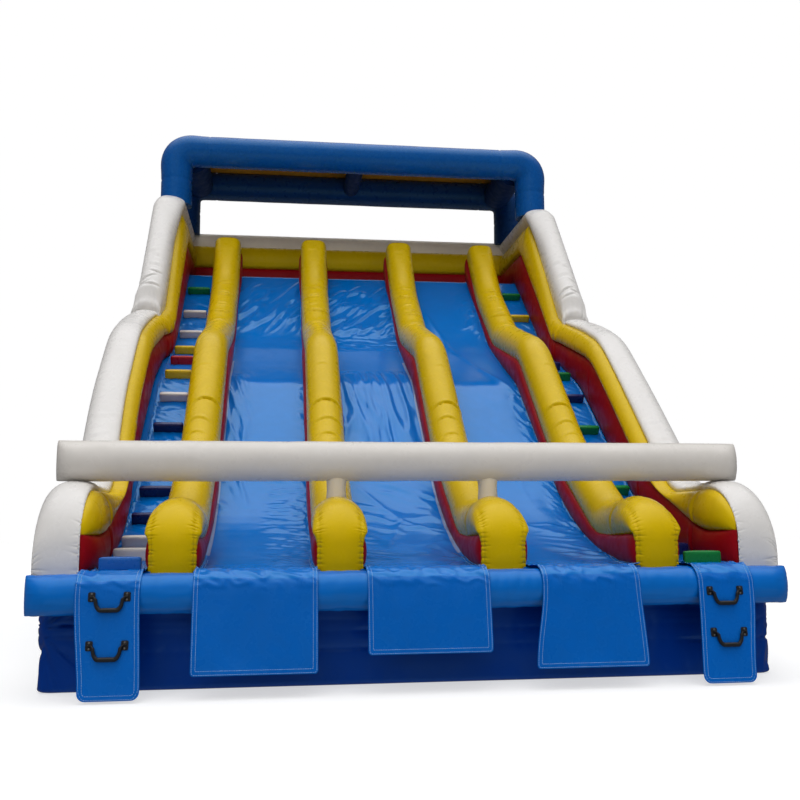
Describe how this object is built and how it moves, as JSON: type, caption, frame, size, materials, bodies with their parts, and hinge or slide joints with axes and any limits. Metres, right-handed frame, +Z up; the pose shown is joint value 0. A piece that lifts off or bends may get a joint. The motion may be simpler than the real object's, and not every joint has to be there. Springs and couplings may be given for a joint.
{
  "type": "floating water slide",
  "caption": "Inflatable pool slide with parallel lanes between two stairways, an arched roof over the platform and a float base with a bumper tube.",
  "frame": {"origin": "middle of the slide's footprint, on the ground under the float base", "axes": "+X across the slide to the right seen from the front, +Y from the front bumper to the rear wall, +Z up"},
  "size_m": [6.971, 9.8512, 8.205],
  "materials": {
    "blue_pvc": "gloss",
    "deep_blue_pvc": "gloss",
    "yellow_pvc": "gloss",
    "red_pvc": "gloss",
    "white_pvc": "gloss",
    "canopy_pvc": "satin",
    "black_rubber": "satin",
    "stainless_steel": "satin"
  },
  "bodies": {
    "lane_flap_1": {"lane_flap_1": "blue_pvc"},
    "lane_flap_2": {"lane_flap_2": "blue_pvc"},
    "lane_flap_3": {"lane_flap_3": "blue_pvc"},
    "ladder_flap_left": {"ladder_flap_left": "blue_pvc", "handle_base_left_upper": "black_rubber", "handle_base_left_lower": "black_rubber"},
    "handle_left_upper": {"handle_left_upper": "black_rubber"},
    "handle_left_lower": {"handle_left_lower": "black_rubber"},
    "ladder_flap_right": {"ladder_flap_right": "blue_pvc", "handle_base_right_upper": "black_rubber", "handle_base_right_lower": "black_rubber"},
    "handle_right_upper": {"handle_right_upper": "black_rubber"},
    "handle_right_lower": {"handle_right_lower": "black_rubber"},
    "mooring_ring_left": {"mooring_ring_left": "stainless_steel"},
    "mooring_ring_right": {"mooring_ring_right": "stainless_steel"},
    "valve_cap": {"valve_cap": "black_rubber"},
    "slide": {"bumper_tube": "blue_pvc", "canopy_left": "canopy_pvc", "canopy_right": "canopy_pvc", "cross_post_left": "white_pvc", "cross_post_right": "white_pvc", "cross_tube": "white_pvc", "divider_side_1": "red_pvc", "divider_side_2": "red_pvc", "divider_side_3": "red_pvc", "divider_side_4": "red_pvc", "divider_top_1": "yellow_pvc", "divider_top_2": "yellow_pvc", "divider_top_3": "yellow_pvc", "divider_top_4": "yellow_pvc", "float_base": "deep_blue_pvc", "front_arch": "blue_pvc", "lane_sheet_1": "blue_pvc", "lane_sheet_2": "blue_pvc", "lane_sheet_3": "blue_pvc", "mooring_patch_left": "deep_blue_pvc", "mooring_patch_right": "deep_blue_pvc", "outer_wall_red_left": "red_pvc", "outer_wall_red_right": "red_pvc", "outer_wall_white_left": "white_pvc", "outer_wall_white_right": "white_pvc", "outer_wall_yellow_left": "yellow_pvc", "outer_wall_yellow_right": "yellow_pvc", "rear_arch": "blue_pvc", "rear_wall_red": "red_pvc", "rear_wall_white": "white_pvc", "rear_wall_yellow": "yellow_pvc", "roof_centre_tube": "blue_pvc", "roof_side_tube_left": "blue_pvc", "roof_side_tube_right": "blue_pvc", "side_ribs_left": "blue_pvc", "side_ribs_right": "blue_pvc", "slide_body": "blue_pvc", "stair_left_lower": "blue_pvc", "stair_left_middle": "blue_pvc", "stair_left_upper": "blue_pvc", "stair_right_lower": "blue_pvc", "stair_right_middle": "blue_pvc", "stair_right_upper": "blue_pvc", "valve_body": "black_rubber"}
  },
  "joints": [
    {"name": "lane_flap_1_lift", "type": "hinge", "parent": "slide", "child": "lane_flap_1", "pos_m": [-1.52175, -4.81204, 0.91523], "axis": [-1, 0, 0], "range_deg": [0, 85]},
    {"name": "lane_flap_2_lift", "type": "hinge", "parent": "slide", "child": "lane_flap_2", "pos_m": [0, -4.81204, 0.91523], "axis": [-1, 0, 0], "range_deg": [0, 85]},
    {"name": "lane_flap_3_lift", "type": "hinge", "parent": "slide", "child": "lane_flap_3", "pos_m": [1.52175, -4.81204, 0.91523], "axis": [-1, 0, 0], "range_deg": [0, 85]},
    {"name": "ladder_flap_left_lift", "type": "hinge", "parent": "slide", "child": "ladder_flap_left", "pos_m": [-2.745, -4.81204, 0.91523], "axis": [-1, 0, 0], "range_deg": [0, 85]},
    {"name": "handle_left_upper_swing", "type": "hinge", "parent": "ladder_flap_left", "child": "handle_left_upper", "pos_m": [-2.745, -4.84022, 0.86466], "axis": [-1, 0, 0], "range_deg": [0, 110]},
    {"name": "handle_left_lower_swing", "type": "hinge", "parent": "ladder_flap_left", "child": "handle_left_lower", "pos_m": [-2.745, -4.88896, 0.46766], "axis": [-1, 0, 0], "range_deg": [0, 110]},
    {"name": "ladder_flap_right_lift", "type": "hinge", "parent": "slide", "child": "ladder_flap_right", "pos_m": [2.745, -4.81204, 0.91523], "axis": [-1, 0, 0], "range_deg": [0, 85]},
    {"name": "handle_right_upper_swing", "type": "hinge", "parent": "ladder_flap_right", "child": "handle_right_upper", "pos_m": [2.745, -4.8439, 0.83466], "axis": [-1, 0, 0], "range_deg": [0, 110]},
    {"name": "handle_right_lower_swing", "type": "hinge", "parent": "ladder_flap_right", "child": "handle_right_lower", "pos_m": [2.745, -4.88896, 0.46766], "axis": [-1, 0, 0], "range_deg": [0, 110]},
    {"name": "mooring_ring_left_swing", "type": "hinge", "parent": "slide", "child": "mooring_ring_left", "pos_m": [-3.4745, 3.10556, 0.655], "axis": [0, 1, 0], "range_deg": [0, 165]},
    {"name": "mooring_ring_right_swing", "type": "hinge", "parent": "slide", "child": "mooring_ring_right", "pos_m": [3.4745, 3.10556, 0.655], "axis": [0, -1, 0], "range_deg": [0, 165]},
    {"name": "valve_cap_turn", "type": "hinge", "parent": "slide", "child": "valve_cap", "pos_m": [3.4671, 4.20556, 0.655], "axis": [1, 0, 0], "range_deg": [0, 90]}
  ]
}
